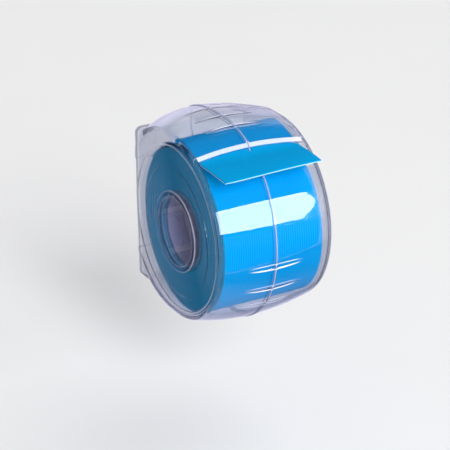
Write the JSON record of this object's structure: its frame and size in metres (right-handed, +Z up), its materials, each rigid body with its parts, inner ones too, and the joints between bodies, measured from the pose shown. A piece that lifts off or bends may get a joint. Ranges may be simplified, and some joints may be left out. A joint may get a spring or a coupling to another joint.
{
  "type": "tape dispenser with tape roll",
  "caption": "Clear two-part drum dispenser on a flat back, holding a wide roll of ribbed blue fabric tape whose free end leaves through a slot under the upper lip.",
  "frame": {"origin": "centre of the rail seat, the shallow recess in the middle of the flat back", "axes": "+X along the roll's axis to the right seen from the front, -Y to the front where the tape comes out, +Y out of the flat back, +Z up"},
  "size_m": [0.0596, 0.0822, 0.0962],
  "materials": {
    "clear_case": "clear gloss, faint mauve tint",
    "clear_hub": "clear gloss, faint mauve tint",
    "core_board": "matte blue-grey board",
    "tape_fabric": "woven cotton, fine ribs along the length",
    "liner_paper": "smooth white release paper"
  },
  "bodies": {
    "case_left": {"case_left_half": "clear_case", "hub_left": "clear_hub", "tape_tail": "tape_fabric", "tail_liner": "liner_paper"},
    "roll": {"tape_core": "core_board", "tape_roll": "tape_fabric"},
    "case_right": {"case_right_half": "clear_case", "hub_right": "clear_hub"}
  },
  "joints": [
    {"name": "roll_spin", "type": "hinge", "parent": "case_left", "child": "roll", "pos_m": [0, -0.0402, 0], "axis": [1, 0, 0], "continuous": true},
    {"name": "case_open", "type": "slide", "parent": "case_left", "child": "case_right", "axis": [1, 0, 0], "range_m": [0, 0.045]}
  ]
}
